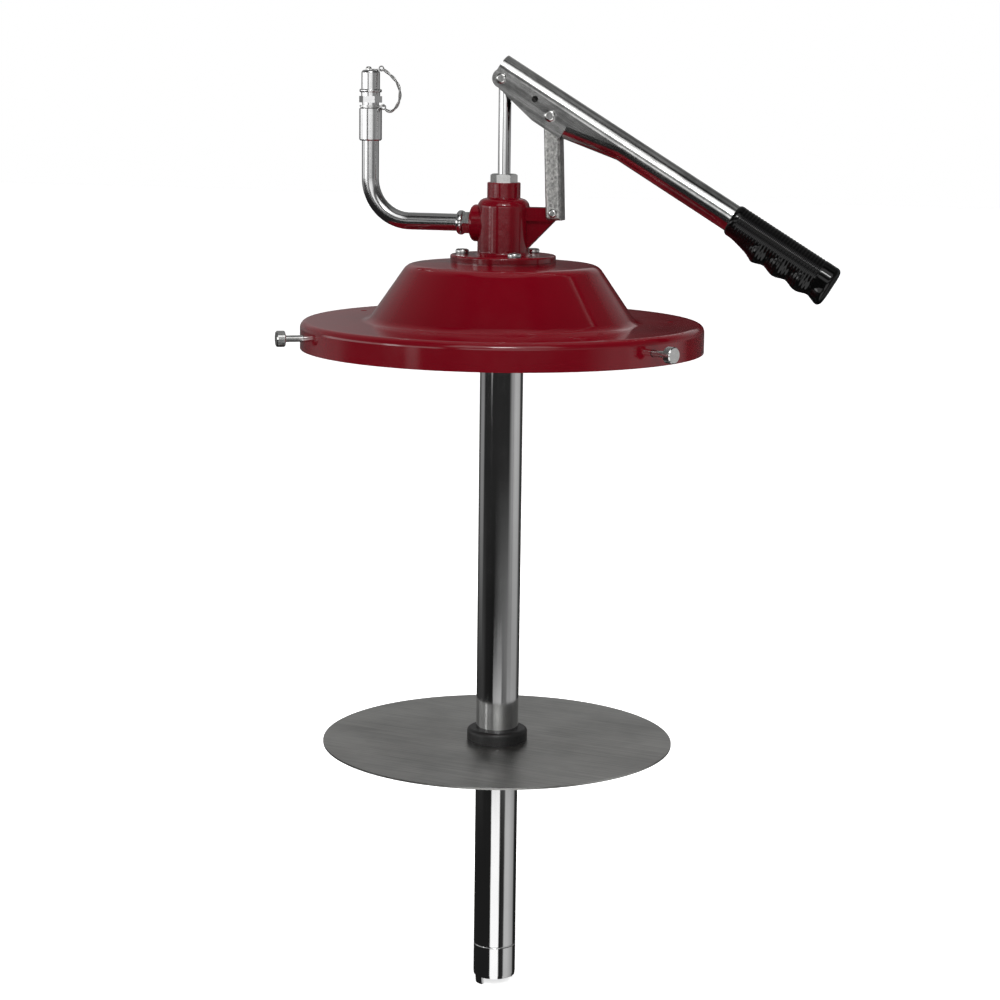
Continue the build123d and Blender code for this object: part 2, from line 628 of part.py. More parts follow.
NOSE_R = 5.85
NOSE_TOP = 187.0
NOSE_BORE_R = 3.9
POPPET_SEAT_Z = 185.2
with BuildPart() as coupler:
    for z0, z1, r in [
        (SLEEVE_TOP - 10.4, SLEEVE_TOP, PIPE_R),
        (SLEEVE_TOP, HEX_BOTTOM, 6.45),
        (HEX_TOP, CAP_BOTTOM, 7.3),
        (CAP_BOTTOM, NOSE_TOP, NOSE_R),
    ]:
        with BuildSketch(Plane((PIPE_X, 0, z0))):
            Circle(r)
        extrude(amount=z1 - z0)
    with BuildSketch(Plane((PIPE_X, 0, HEX_BOTTOM))):
        RegularPolygon(7.75, 6, major_radius=False, rotation=8)
    extrude(amount=HEX_TOP - HEX_BOTTOM)
    # groove that the socket's locking balls hold
    with BuildSketch(Plane.XZ):
        with Locations((PIPE_X + NOSE_R + 0.6, 179.5)):
            Circle(1.6)
    revolve(axis=Axis((PIPE_X, 0, 0), (0, 0, 1)), mode=Mode.SUBTRACT)
    with BuildSketch(Plane((PIPE_X, 0, SLEEVE_TOP - 10.4))):
        Circle(NOSE_BORE_R)
    extrude(amount=POPPET_SEAT_Z - SLEEVE_TOP + 10.4, mode=Mode.SUBTRACT)
    with BuildSketch(Plane((PIPE_X, 0, POPPET_SEAT_Z))):
        Circle(2.4)
    extrude(amount=3, mode=Mode.SUBTRACT)
    with BuildSketch(Plane((PIPE_X, 0, 160.0))):
        Circle(NOSE_BORE_R)
        Circle(2.2, mode=Mode.SUBTRACT)
    extrude(amount=2)
save(coupler.part, "coupler_body")

SPRING_BOTTOM = 162.0
SPRING_TOP = 180.0
with BuildPart() as poppet:
    with BuildSketch(Plane((PIPE_X, 0, SPRING_TOP))):
        Circle(3.5)
    extrude(amount=POPPET_SEAT_Z - SPRING_TOP)
    with BuildSketch(Plane((PIPE_X, 0, POPPET_SEAT_Z))):
        Circle(1.8)
    extrude(amount=1.4)
save(poppet.part, "coupler_poppet")

SPRING_R = 2.7
SPRING_WIRE_R = 0.35
with BuildPart() as spring:
    with BuildLine() as coil:
        Helix(
            pitch=2.2,
            height=SPRING_TOP - SPRING_BOTTOM - 2 * SPRING_WIRE_R,
            radius=SPRING_R,
            center=(PIPE_X, 0, SPRING_BOTTOM + SPRING_WIRE_R),
        )
    with BuildSketch(Plane(origin=coil.line @ 0, z_dir=coil.line % 0)):
        Circle(SPRING_WIRE_R)
    sweep(is_frenet=True)
save(spring.part, "coupler_spring")

# Dust cap with its eye plate and rivet
with BuildPart() as cap:
    with BuildSketch(Plane((PIPE_X, 0, CAP_BOTTOM))):
        Circle(CAP_R)
    extrude(amount=CAP_TOP - CAP_BOTTOM)
    fillet(cap.edges().filter_by(GeomType.CIRCLE).group_by(Axis.Z)[-1], 2.4)
    with BuildSketch(Plane((PIPE_X, 0, CAP_BOTTOM))):
        Circle(8.6)
    extrude(amount=2.6)
    fillet(cap.edges().filter_by(GeomType.CIRCLE).filter_by(lambda e: e.radius > 8.5), 1.0)
    with BuildSketch(Plane((PIPE_X, 0, CAP_BOTTOM))):
        Circle(NOSE_R + 0.35)
    extrude(amount=CAP_TOP - CAP_BOTTOM - 1.8, mode=Mode.SUBTRACT)
save(cap.part, "dust_cap")

EYE_REACH = 6.6
with BuildPart() as cap_eye:
    with BuildSketch(Plane((PIPE_X, 0, CAP_TOP))):
        Circle(3.8)
        with Locations((EYE_REACH / 2, 0)):
            Rectangle(EYE_REACH, 4.0)
        with Locations((EYE_REACH, 0)):
            Circle(2.0)
        with Locations((-1.6, 0)):
            Circle(1.3, mode=Mode.SUBTRACT)
    extrude(amount=0.8)
save(cap_eye.part, "cap_eye_plate")

with BuildPart() as cap_rivet:
    with BuildSketch(Plane((PIPE_X - 1.6, 0, CAP_TOP))):
        Circle(1.3)
    extrude(amount=0.8)
    with BuildSketch(Plane((PIPE_X - 1.6, 0, CAP_TOP + 0.8))):
        Circle(2.2)
    extrude(amount=1.8)
    fillet(cap_rivet.edges().filter_by(GeomType.CIRCLE).group_by(Axis.Z)[-1], 1.5)
save(cap_rivet.part, "cap_rivet")

RING_Z = 162.4
with BuildPart() as tether_ring:
    with BuildSketch(Plane((PIPE_X, 0, RING_Z))):
        Circle(8.4)
        with Locations((9.0, 0)):
            Circle(2.2)
        Circle(6.5, mode=Mode.SUBTRACT)
    extrude(amount=1.2)
save(tether_ring.part, "tether_ring")

# Tether: a stiff wire lanyard that bows out from the cap and back to the ring on the neck
tether_route = [
    (PIPE_X + 9.8, 0, 191.0),
    (PIPE_X + 17.0, 0, 186.2),
    (PIPE_X + 23.0, 0, 178.6),
    (PIPE_X + 24.0, 0, 169.0),
    (PIPE_X + 20.2, 0, 161.2),
    (PIPE_X + 14.6, 0, 158.0),
    (PIPE_X + 11.4, 0, 161.2),
]


def corner_radii(points):
    """Arc radius at each inner point: 0.45 of its shorter run over the tangent of half the turn."""
    radii = []
    for before, here, after in zip(points, points[1:], points[2:]):
        run_in = Vector(*here) - Vector(*before)
        run_out = Vector(*after) - Vector(*here)
        half_turn = radians(run_in.get_angle(run_out) / 2)
        radii.append(0.45 * min(run_in.length, run_out.length) / (sin(half_turn) / cos(half_turn)))
    return radii


tether_radii = corner_radii(tether_route)
print("tether radii", [round(r, 1) for r in tether_radii])
with BuildPart() as tether:
    with BuildLine() as tether_line:
        FilletPolyline(*tether_route, radius=tether_radii)
    start = Vector(*tether_route[0])
    with BuildSketch(Plane(origin=start, z_dir=Vector(*tether_route[1]) - start)):
        Circle(TETHER_D / 2)
    sweep()
tether_length = sum(edge.length for edge in tether_line.edges())
print("tether length", round(tether_length, 1))
save(tether.part, "cap_tether")

# Follower plate and the rubber collar that wipes the tube
PLATE_T = 1.5
COLLAR_GROOVE_R = 20.0
with BuildPart() as plate:
    with BuildSketch(Plane.XY.offset(PLATE_TOP - PLATE_T)):
        Circle(PLATE_R)
        Circle(COLLAR_GROOVE_R, mode=Mode.SUBTRACT)
    extrude(amount=PLATE_T)
save(plate.part, "follower_plate")

with BuildPart() as plate_collar:
    with BuildSketch(Plane.XY.offset(PLATE_TOP - PLATE_T - 4.5)):
        Circle(COLLAR_R)
    extrude(amount=4.5 + PLATE_T + 9.5)
    fillet(plate_collar.edges().group_by(Axis.Z)[-1], 3.0)
    fillet(plate_collar.edges().group_by(Axis.Z)[0], 1.5)
    with BuildSketch(Plane.XY.offset(PLATE_TOP - PLATE_T)):
        Circle(COLLAR_R + 1)
        Circle(COLLAR_GROOVE_R, mode=Mode.SUBTRACT)
    extrude(amount=PLATE_T, mode=Mode.SUBTRACT)
    with BuildSketch(Plane.XY.offset(PLATE_TOP - 10)):
        Circle(TUBE_R + 0.06)
    extrude(amount=25, mode=Mode.SUBTRACT)
save(plate_collar.part, "follower_collar")

# Clamp screws that grip the drum's rim
for number, angle in enumerate(SCREW_ANGLES, start=1):
    with BuildPart() as screw:
        with BuildSketch(radial_plane(angle, 145.0, SCREW_Z)):
            Circle(SCREW_R)
        extrude(amount=SCREW_HEAD_AT - 145.0)
        with BuildSketch(radial_plane(angle, SCREW_HEAD_AT, SCREW_Z)):
            Circle(SCREW_HEAD_R)
        extrude(amount=6.7)
        chamfer(screw.edges().filter_by(GeomType.CIRCLE).filter_by(lambda e: e.radius > 6), 0.7)
    save(screw.part, f"clamp_screw_{number}")
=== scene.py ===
import math

import bmesh
import bpy
from mathutils import Matrix, Vector


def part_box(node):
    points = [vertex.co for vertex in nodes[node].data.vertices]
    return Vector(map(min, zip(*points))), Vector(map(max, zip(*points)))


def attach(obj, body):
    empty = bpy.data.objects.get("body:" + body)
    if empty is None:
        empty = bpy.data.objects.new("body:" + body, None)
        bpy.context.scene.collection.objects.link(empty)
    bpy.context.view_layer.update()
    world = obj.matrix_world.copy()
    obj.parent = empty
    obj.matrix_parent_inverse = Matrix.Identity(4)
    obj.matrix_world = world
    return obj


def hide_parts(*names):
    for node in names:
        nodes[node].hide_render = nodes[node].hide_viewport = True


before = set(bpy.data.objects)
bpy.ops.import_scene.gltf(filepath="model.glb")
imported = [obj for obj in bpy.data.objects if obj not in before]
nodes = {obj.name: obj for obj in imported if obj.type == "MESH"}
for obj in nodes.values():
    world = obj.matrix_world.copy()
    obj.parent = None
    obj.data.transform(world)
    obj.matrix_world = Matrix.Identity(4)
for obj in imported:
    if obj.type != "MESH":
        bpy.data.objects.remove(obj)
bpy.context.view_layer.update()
MM = 0.001

# ---------------------------------------------------------------- the floor, and the resting lever's line

FLOOR_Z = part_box("suction_tube")[0].z
LEVER_DROP = math.radians(31.2)            # how far the resting lever falls below the horizontal
LEVER_START = Vector((-2.8, 0.0, 193.1)) * MM
LEVER_ALONG = Vector((math.cos(LEVER_DROP), 0, -math.sin(LEVER_DROP)))
LEVER_UP = Vector((math.sin(LEVER_DROP), 0, math.cos(LEVER_DROP)))


# ---------------------------------------------------------------- materials

# Sockets of a Mix node that mixes colours
MIX_FACTOR, MIX_FIRST, MIX_SECOND, MIX_RESULT = 0, 6, 7, 2


def fill_ramp(elements, stops):
    """Gives a colour ramp these (position, grey) stops."""
    elements.remove(elements[1])
    elements[0].position = stops[0][0]
    elements[0].color = (stops[0][1],) * 3 + (1,)
    for position, grey in stops[1:]:
        elements.new(position).color = (grey,) * 3 + (1,)


class Shader:
    """A material with a Principled shader and short helpers for its nodes."""

    def __init__(self, name, color, metallic=0.0, roughness=0.5, **sockets):
        self.material = bpy.data.materials.new(name)
        self.material.use_nodes = True
        self.tree = self.material.node_tree
        self.surface = self.tree.nodes["Principled BSDF"]
        self.set("Base Color", (*color, 1))
        self.set("Metallic", metallic)
        self.set("Roughness", roughness)
        for socket, value in sockets.items():
            self.set(socket.replace("_", " "), value)
        self.bumps = None

    def set(self, socket, value):
        self.surface.inputs[socket].default_value = value

    def node(self, kind, **values):
        made = self.tree.nodes.new(kind)
        for key, value in values.items():
            if key in made.inputs:
                made.inputs[key].default_value = value
            else:
                setattr(made, key, value)
        return made

    def link(self, source, target):
        self.tree.links.new(source, target)

    def place(self, stretch=(1, 1, 1), turn=(0, 0, 0)):
        """Object coordinates in metres, turned and drawn out along each axis."""
        coordinates = self.node("ShaderNodeTexCoord")
        mapping = self.node("ShaderNodeMapping", vector_type="TEXTURE")
        mapping.inputs["Scale"].default_value = stretch
        mapping.inputs["Rotation"].default_value = turn
        self.link(coordinates.outputs["Object"], mapping.inputs["Vector"])
        return mapping.outputs["Vector"]

    def noise(self, scale, detail, rough, where=None, distortion=0.0):
        made = self.node("ShaderNodeTexNoise", Scale=scale, Detail=detail, Roughness=rough,
                         Distortion=distortion)
        self.link(where or self.place(), made.inputs["Vector"])
        return made.outputs["Fac"]

    def cells(self, scale, where):
        """A random colour for each cell."""
        made = self.node("ShaderNodeTexVoronoi", Scale=scale)
        self.link(where, made.inputs["Vector"])
        return made.outputs["Color"]

    def ramp(self, source, stops):
        """Maps a factor through (position, grey) stops."""
        made = self.node("ShaderNodeValToRGB")
        fill_ramp(made.color_ramp.elements, stops)
        self.link(source, made.inputs["Fac"])
        return made.outputs["Color"]

    def math(self, operation, first, second):
        made = self.node("ShaderNodeMath", operation=operation)
        for socket, value in zip(made.inputs, (first, second)):
            if isinstance(value, (int, float)):
                socket.default_value = value
            else:
                self.link(value, socket)
        return made.outputs[0]

    def colors(self, factor, first, second):
        """Base colour between two colours by a factor."""
        made = self.node("ShaderNodeMix", data_type="RGBA")
        made.inputs[MIX_FIRST].default_value = (*first, 1)
        made.inputs[MIX_SECOND].default_value = (*second, 1)
        self.link(factor, made.inputs[MIX_FACTOR])
        self.link(made.outputs[MIX_RESULT], self.surface.inputs["Base Color"])

    def roughness(self, source, low, high):
        made = self.node("ShaderNodeMapRange")
        made.inputs["To Min"].default_value = low
        made.inputs["To Max"].default_value = high
        self.link(source, made.inputs["Value"])
        self.link(made.outputs["Result"], self.surface.inputs["Roughness"])

    def bump(self, source, depth, strength=1.0):
        """Adds a bump of that depth in metres on top of those already made."""
        made = self.node("ShaderNodeBump", Strength=strength, Distance=depth)
        self.link(source, made.inputs["Height"])
        if self.bumps:
            self.link(self.bumps, made.inputs["Normal"])
        self.bumps = made.outputs["Normal"]
        self.link(self.bumps, self.surface.inputs["Normal"])


def pressed_paint():
    """Glossy wine-red enamel on the pressed cover: faint orange peel and an uneven gloss."""
    s = Shader("pressed_paint", (0.1, 0.0006, 0.004), roughness=0.11, Coat_Weight=0.12,
               Coat_Roughness=0.03, Specular_IOR_Level=0.45)
    s.colors(s.noise(14, 4, 0.6), (0.086, 0.0004, 0.0034), (0.112, 0.0009, 0.0050))
    s.roughness(s.noise(60, 5, 0.65), 0.07, 0.17)
    s.bump(s.noise(420, 2, 0.5), 0.00004, 0.25)
    s.bump(s.noise(28, 2, 0.5), 0.0005, 0.10)
    return s.material


def cast_paint():
    """The same enamel over a casting: a rounder, uneven skin."""
    s = Shader("cast_paint", (0.1, 0.0006, 0.004), roughness=0.13, Coat_Weight=0.12,
               Coat_Roughness=0.04, Specular_IOR_Level=0.36)
    s.colors(s.noise(60, 4, 0.6), (0.080, 0.0004, 0.0032), (0.118, 0.0010, 0.0054))
    s.roughness(s.noise(160, 4, 0.6), 0.07, 0.14)
    s.bump(s.noise(150, 3, 0.6), 0.0006, 0.12)
    s.bump(s.noise(900, 2, 0.5), 0.00008, 0.15)
    return s.material


def chrome(name, tone, along=(1, 1, 30), rough=(0.03, 0.20)):
    """Bright plated tube: fine lengthwise drawing lines and cloudy stains."""
    s = Shader(name, (tone, tone, tone * 0.99), metallic=1.0, roughness=0.1)
    lines = s.noise(900, 3, 0.6, s.place(along))
    clouds = s.noise(22, 4, 0.6)
    s.colors(clouds, (tone * 0.86,) * 3, (tone * 1.06,) * 3)
    s.roughness(s.math("MULTIPLY", lines, clouds), *rough)
    s.bump(lines, 0.00004, 0.35)
    return s.material


def zinc(name, tone, rough):
    """Zinc on turned and stamped steel: a cloudy plate with a fine uneven skin."""
    s = Shader(name, (tone, tone, tone), metallic=1.0, roughness=0.25)
    clouds = s.noise(90, 4, 0.6)
    s.colors(clouds, (tone * 0.72, tone * 0.72, tone * 0.70), (tone * 1.15, tone * 1.15, tone * 1.14))
    s.roughness(s.noise(420, 4, 0.6), *rough)
    s.bump(s.noise(600, 2, 0.5), 0.00002, 0.2)
    return s.material


def turned(name, tone, roughness):
    """Lathe-turned steel: fine rings round the vertical axis."""
    s = Shader(name, (tone, tone, tone), metallic=1.0, roughness=0.25)
    rings = s.noise(1100, 2, 0.5, s.place((30, 30, 1)))
    s.colors(s.noise(70, 4, 0.6), (tone * 0.8,) * 3, (tone * 1.15,) * 3)
    s.roughness(rings, *roughness)
    s.bump(rings, 0.00001, 0.15)
    return s.material


def lever_steel():
    """Zinc-plated pipe: long drawing streaks, darker plating stains and small knocks."""
    s = Shader("lever_steel", (0.5, 0.5, 0.5), metallic=1.0, roughness=0.2)
    streaks = s.noise(240, 4, 0.6, s.place((25, 1, 1), (0, LEVER_DROP, 0)))
    stains = s.noise(45, 5, 0.65, distortion=0.6)
    mixed = s.math("MULTIPLY", s.math("ADD", streaks, stains), 0.5)
    s.colors(s.ramp(mixed, [(0.38, 0.0), (0.60, 1.0)]), (0.33, 0.33, 0.325), (0.74, 0.74, 0.73))
    s.roughness(streaks, 0.10, 0.26)
    s.bump(streaks, 0.00004, 0.3)
    s.bump(s.noise(110, 3, 0.6), 0.00025, 0.2)
    return s.material


def spangled():
    """Dull hot-dipped sheet: crystal spangles of different greys with a grainy skin."""
    s = Shader("spangled_sheet", (0.4, 0.4, 0.4), metallic=1.0, roughness=0.4)
    spangles = s.cells(700, s.place((1, 1, 1.4)))
    grain = s.noise(900, 5, 0.7)
    mixed = s.math("MULTIPLY", s.math("ADD", s.math("MULTIPLY", spangles, 0.5), grain), 0.67)
    s.colors(s.ramp(mixed, [(0.32, 0.0), (0.70, 1.0)]), (0.24, 0.24, 0.235), (0.66, 0.66, 0.64))
    s.roughness(mixed, 0.28, 0.52)
    s.bump(grain, 0.00025, 0.5)
    return s.material


def plate_steel():
    """Galvanised follower plate: straight mill grain and faint clouds."""
    s = Shader("plate_steel", (0.42, 0.42, 0.41), metallic=1.0, roughness=0.32, Anisotropic=0.35)
    grain = s.noise(700, 4, 0.65, s.place((40, 1, 1), (0, 0, math.radians(-12))))
    clouds = s.noise(11, 4, 0.6)
    mixed = s.math("MULTIPLY", s.math("ADD", grain, clouds), 0.5)
    s.colors(s.ramp(mixed, [(0.38, 0.0), (0.62, 1.0)]), (0.28, 0.28, 0.272), (0.52, 0.52, 0.50))
    s.roughness(grain, 0.26, 0.42)
    s.bump(grain, 0.00005, 0.4)
    return s.material


def rubber(name, tone=0.007, rough=(0.34, 0.55), gloss=0.5, grain=0.5):
    """Moulded black rubber: uneven gloss with a fine grain."""
    s = Shader(name, (tone, tone, tone), roughness=0.45, Specular_IOR_Level=gloss)
    dust = s.noise(90, 5, 0.7)
    s.colors(dust, (tone * 0.7,) * 3, (tone * 1.7,) * 3)
    s.roughness(s.noise(240, 4, 0.6), *rough)
    s.bump(s.noise(1500, 3, 0.6), 0.00008, grain)
    return s.material


def black_oxide():
    """Blackened steel with a dry bloom."""
    s = Shader("black_oxide", (0.014, 0.014, 0.015), metallic=0.6, roughness=0.42)
    bloom = s.noise(260, 5, 0.65)
    s.colors(bloom, (0.008, 0.008, 0.009), (0.035, 0.034, 0.033))
    s.roughness(bloom, 0.3, 0.55)
    s.bump(bloom, 0.0001, 0.5)
    return s.material


def brass():
    """Turned brass, slightly dulled."""
    s = Shader("turned_brass", (0.62, 0.42, 0.16), metallic=1.0, roughness=0.28)
    rings = s.noise(1200, 2, 0.5, s.place((30, 30, 1)))
    s.colors(s.noise(140, 4, 0.6), (0.42, 0.27, 0.10), (0.68, 0.48, 0.20))
    s.roughness(rings, 0.2, 0.38)
    s.bump(rings, 0.00005, 0.5)
    return s.material


PRESSED_PAINT = pressed_paint()
CAST_PAINT = cast_paint()
TUBE_CHROME = chrome("tube_chrome", 0.60)
ROD_CHROME = chrome("rod_chrome", 0.66)
PIPE_CHROME = chrome("pipe_chrome", 0.56, (1, 1, 5), (0.10, 0.32))
ZINC = zinc("bright_zinc", 0.66, (0.14, 0.30))
DARK_ZINC = zinc("dark_zinc", 0.22, (0.25, 0.45))
WIRE = zinc("wire", 0.36, (0.22, 0.38))
TURNED = turned("turned_steel", 0.68, (0.08, 0.20))
LEVER_STEEL = lever_steel()
SPANGLED = spangled()
PLATE_STEEL = plate_steel()
RUBBER = rubber("black_rubber")
GRIP_RUBBER = rubber("grip_rubber", 0.0012, (0.05, 0.09), gloss=0.25, grain=0.08)
BLACK_OXIDE = black_oxide()
BRASS = brass()
BALL_STEEL = chrome("ball_steel", 0.6, (1, 1, 1))

NODE_MATERIALS = {
    "drum_cover": PRESSED_PAINT,
    "pump_head": CAST_PAINT,
    "cover_weld_nuts": ZINC,
    "head_gasket": CAST_PAINT,
    "head_bolts": ZINC,
    "head_lock_washers": DARK_ZINC,
    "head_nuts": ZINC,
    "packing_washer": BRASS,
    "packing_rings": RUBBER,
    "gland_nut": ZINC,
    "suction_tube": TUBE_CHROME,
    "foot_valve_body": BLACK_OXIDE,
    "foot_valve_ball": BALL_STEEL,
    "foot_valve_pin": ZINC,
    "piston_rod": ROD_CHROME,
    "piston_body": TURNED,
    "piston_seals": RUBBER,
    "piston_valve_ball": BALL_STEEL,
    "lever_arm": LEVER_STEEL,
    "lever_grip": GRIP_RUBBER,
    "rod_pin": ZINC,
    "fulcrum_pin": ZINC,
    "link_pin": ZINC,
    "link_channel": SPANGLED,
    "outlet_adapter": ZINC,
    "pipe_collar": TURNED,
    "outlet_pipe": PIPE_CHROME,
    "coupler_sleeve": TURNED,
    "coupler_body": TURNED,
    "coupler_poppet": BRASS,
    "coupler_spring": ZINC,
    "dust_cap": TURNED,
    "cap_eye_plate": ZINC,
    "cap_rivet": ZINC,
    "tether_ring": ZINC,
    "cap_tether": WIRE,
    "follower_plate": PLATE_STEEL,
    "follower_collar": RUBBER,
    "clamp_screw_1": ZINC,
    "clamp_screw_2": ZINC,
    "clamp_screw_3": ZINC,
}
for name, material in NODE_MATERIALS.items():
    nodes[name].data.materials.clear()
    nodes[name].data.materials.append(material)


# ---------------------------------------------------------------- mesh helpers


def mesh_object(name, vertices, faces, material, body):
    """A smooth mesh piece in the row frame, riding on a body."""
    mesh = bpy.data.meshes.new(name)
    mesh.from_pydata([tuple(v) for v in vertices], [], faces)
    mesh.materials.append(material)
    bm = bmesh.new()
    bm.from_mesh(mesh)
    bmesh.ops.recalc_face_normals(bm, faces=bm.faces)
    bm.to_mesh(mesh)
    bm.free()
    mesh.polygons.foreach_set("use_smooth", [True] * len(mesh.polygons))
    piece = bpy.data.objects.new(name, mesh)
    bpy.context.scene.collection.objects.link(piece)
    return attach(piece, body)


def skin(rings, closed_ends=True):
    """Vertices and faces of a tube through rings of equal length, its ends closed by flat faces."""
    count = len(rings[0])
    vertices = [point for ring in rings for point in ring]
    faces = []
    for row in range(len(rings) - 1):
        for i in range(count):
            j = (i + 1) % count
            faces.append((row * count + i, row * count + j, (row + 1) * count + j, (row + 1) * count + i))
    if closed_ends:
        faces.append(tuple(range(count)))
        faces.append(tuple(range((len(rings) - 1) * count, len(rings) * count)))
    return vertices, faces


# ---------------------------------------------------------------- grip: ribbed rubber with finger swells

# Millimetres, and places along the lever's line from its start
GRIP_R = 12.0
GRIP_FROM, GRIP_TO = 208.5, 299.2
GRIP_ROUNDING = 3.8                        # radius of the edges at both ends
RIB_PITCH = 2.6
RIB_DEPTH = 0.3
RIB_FREE_START = 5                         # plain lengths at the two ends
RIB_FREE_END = 12
RIB_FADE = 2
RIB_LOSS_BELOW = 0.55                      # share of a rib's depth that is lost under the grip
SWELL_AXIS = 8.0                           # how far the swell body's line lies below the lever's
SWELL_FROM, SWELL_RISE = 212, 26
SWELL_THIN, SWELL_GAIN = 4.6, 4.3          # its radius where it starts, and what it gains
SWELL_FIRST, SWELL_PITCH = 237.8, 19.6     # places of the finger swells
SWELL_WAVE = 2.5                           # how far they stand out
SWELL_LEAD = 9                             # length of the slope up to the first one
MERGE = 1.2                                # softness of the line where the two bodies meet
MERGE_FILL = 0.35                          # share of it that is filled in
GRIP_STEPS, GRIP_SIDES = 370, 96


def swell_radius(s):
    """Radius of the lower swell body at a place along the grip, about its own line."""
    rise = min(max((s - SWELL_FROM) / SWELL_RISE, 0), 1)
    base = SWELL_THIN + SWELL_GAIN * rise * rise * (3 - 2 * rise)
    if s < SWELL_FIRST:
        wave = max(0.0, 1 - (SWELL_FIRST - s) / SWELL_LEAD) ** 1.6
    else:
        wave = (0.5 + 0.5 * math.cos(2 * math.pi * (s - SWELL_FIRST) / SWELL_PITCH)) ** 0.8
    return base + SWELL_WAVE * wave * rise


def grip_radius(s, angle):
    """Distance from the lever's line to the grip's skin; angle 0 is up, in radians."""
    down = -math.cos(angle)
    side = math.sin(angle)
    inside = swell_radius(s) ** 2 - (SWELL_AXIS * side) ** 2
    swell = SWELL_AXIS * down + math.sqrt(inside) if inside > 0 else 0.0
    high, low = max(GRIP_R, swell), min(GRIP_R, swell)
    return high + MERGE * math.exp(-(high - low) / MERGE) * MERGE_FILL


def rib(s, angle):
    """Depth of the moulded ribs: full on top, shallower below, and fading out near both ends."""
    wave = 0.5 - 0.5 * math.cos(2 * math.pi * s / RIB_PITCH)
    start = (s - GRIP_FROM - RIB_FREE_START) / RIB_FADE
    end = (GRIP_TO - RIB_FREE_END - s) / RIB_FADE
    ends = min(1.0, max(0.0, start), max(0.0, end))
    under = 0.5 - 0.5 * math.cos(angle)
    return RIB_DEPTH * wave * ends * (1 - RIB_LOSS_BELOW * under ** 3)


def end_rounding(s):
    """How much the grip's radius is less near its ends."""
    edge = min(s - GRIP_FROM, GRIP_TO - s)
    if edge >= GRIP_ROUNDING:
        return 0.0
    return GRIP_ROUNDING - math.sqrt(GRIP_ROUNDING ** 2 - (GRIP_ROUNDING - edge) ** 2)


def make_grip():
    rings = []
    for step in range(GRIP_STEPS + 1):
        s = GRIP_FROM + (GRIP_TO - GRIP_FROM) * step / GRIP_STEPS
        ring = []
        for i in range(GRIP_SIDES):
            angle = 2 * math.pi * i / GRIP_SIDES
            r = grip_radius(s, angle) - rib(s, angle) - end_rounding(s)
            up, side = r * math.cos(angle), r * math.sin(angle)
            ring.append(LEVER_START + (LEVER_ALONG * s + LEVER_UP * up + Vector((0, side, 0))) * MM)
        rings.append(ring)
    vertices, faces = skin(rings)
    grip = mesh_object("grip", vertices, faces, GRIP_RUBBER, "lever")
    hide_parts("lever_grip")


make_grip()

# ---------------------------------------------------------------- tether: a short twisted wire lanyard

# Millimetres
PIPE_X = -106.8                            # the upright pipe's line
TETHER_D = 2.4
TETHER_ROUTE = [(9.8, 191.0), (17.0, 186.2), (23.0, 178.6), (24.0, 169.0), (20.2, 161.2), (14.6, 158.0),
                (11.4, 161.2)]             # out from the pipe's line, and up
STRANDS = 2
STRAND_R = 0.74
STRAND_SIDES = 10
TWIST = 15.0                               # length of one full twist
EYE_R, EYE_WIRE_R = 1.75, 0.5
EYE_STEPS, EYE_SIDES = 28, 10


def route_curve(points):
    """The tether's line: a NURBS spline with the route's points as its control points."""
    curve = bpy.data.curves.new("tether_line", "CURVE")
    curve.dimensions = "3D"
    curve.resolution_u = 24
    spline = curve.splines.new("NURBS")
    spline.points.add(len(points) - 1)
    for point, place in zip(spline.points, points):
        point.co = (*place, 1)
    spline.order_u = 3
    spline.use_endpoint_u = True
    holder = bpy.data.objects.new("tether_line", curve)
    bpy.context.scene.collection.objects.link(holder)
    bpy.context.view_layer.update()
    evaluated = holder.evaluated_get(bpy.context.evaluated_depsgraph_get())
    line = [v.co.copy() for v in bpy.data.meshes.new_from_object(evaluated).vertices]
    bpy.data.objects.remove(holder)
    return line


def circle(centre, across, beside, radius, sides):
    """Points of a circle round a centre, in the plane of two directions."""
    turns = (2 * math.pi * k / sides for k in range(sides))
    return [centre + (across * math.cos(turn) + beside * math.sin(turn)) * radius for turn in turns]


def make_eye(name, x, z, body):
    """Closed wire eye that joins the tether to a hole."""
    centre = Vector((PIPE_X + x, 0, z)) * MM
    side = Vector((0, 1, 0))
    rings = []
    for place in circle(centre, Vector((1, 0, 0)), Vector((0, 0, 1)), EYE_R * MM, EYE_STEPS):
        rings.append(circle(place, (place - centre).normalized(), side, EYE_WIRE_R * MM, EYE_SIDES))
    rings.append(rings[0])
    vertices, faces = skin(rings, closed_ends=False)
    eye = mesh_object(name, vertices, faces, WIRE, body)
    bm = bmesh.new()
    bm.from_mesh(eye.data)
    bmesh.ops.remove_doubles(bm, verts=bm.verts, dist=1e-6)
    bm.to_mesh(eye.data)
    bm.free()
    return eye


def strand_rings(line, start_turn):
    """Rings of one strand that winds round the tether's line."""
    side = Vector((0, 1, 0))
    travelled = 0.0
    rings = []
    for index, point in enumerate(line):
        before, after = line[max(index - 1, 0)], line[min(index + 1, len(line) - 1)]
        across = (after - before).normalized().cross(side).normalized()
        if index:
            travelled += (point - line[index - 1]).length
        turn = 2 * math.pi * (travelled / (TWIST * MM) + start_turn)
        offset = (side * math.cos(turn) + across * math.sin(turn)) * (TETHER_D / 2 - STRAND_R) * MM
        rings.append(circle(point + offset, side, across, STRAND_R * MM, STRAND_SIDES))
    return rings


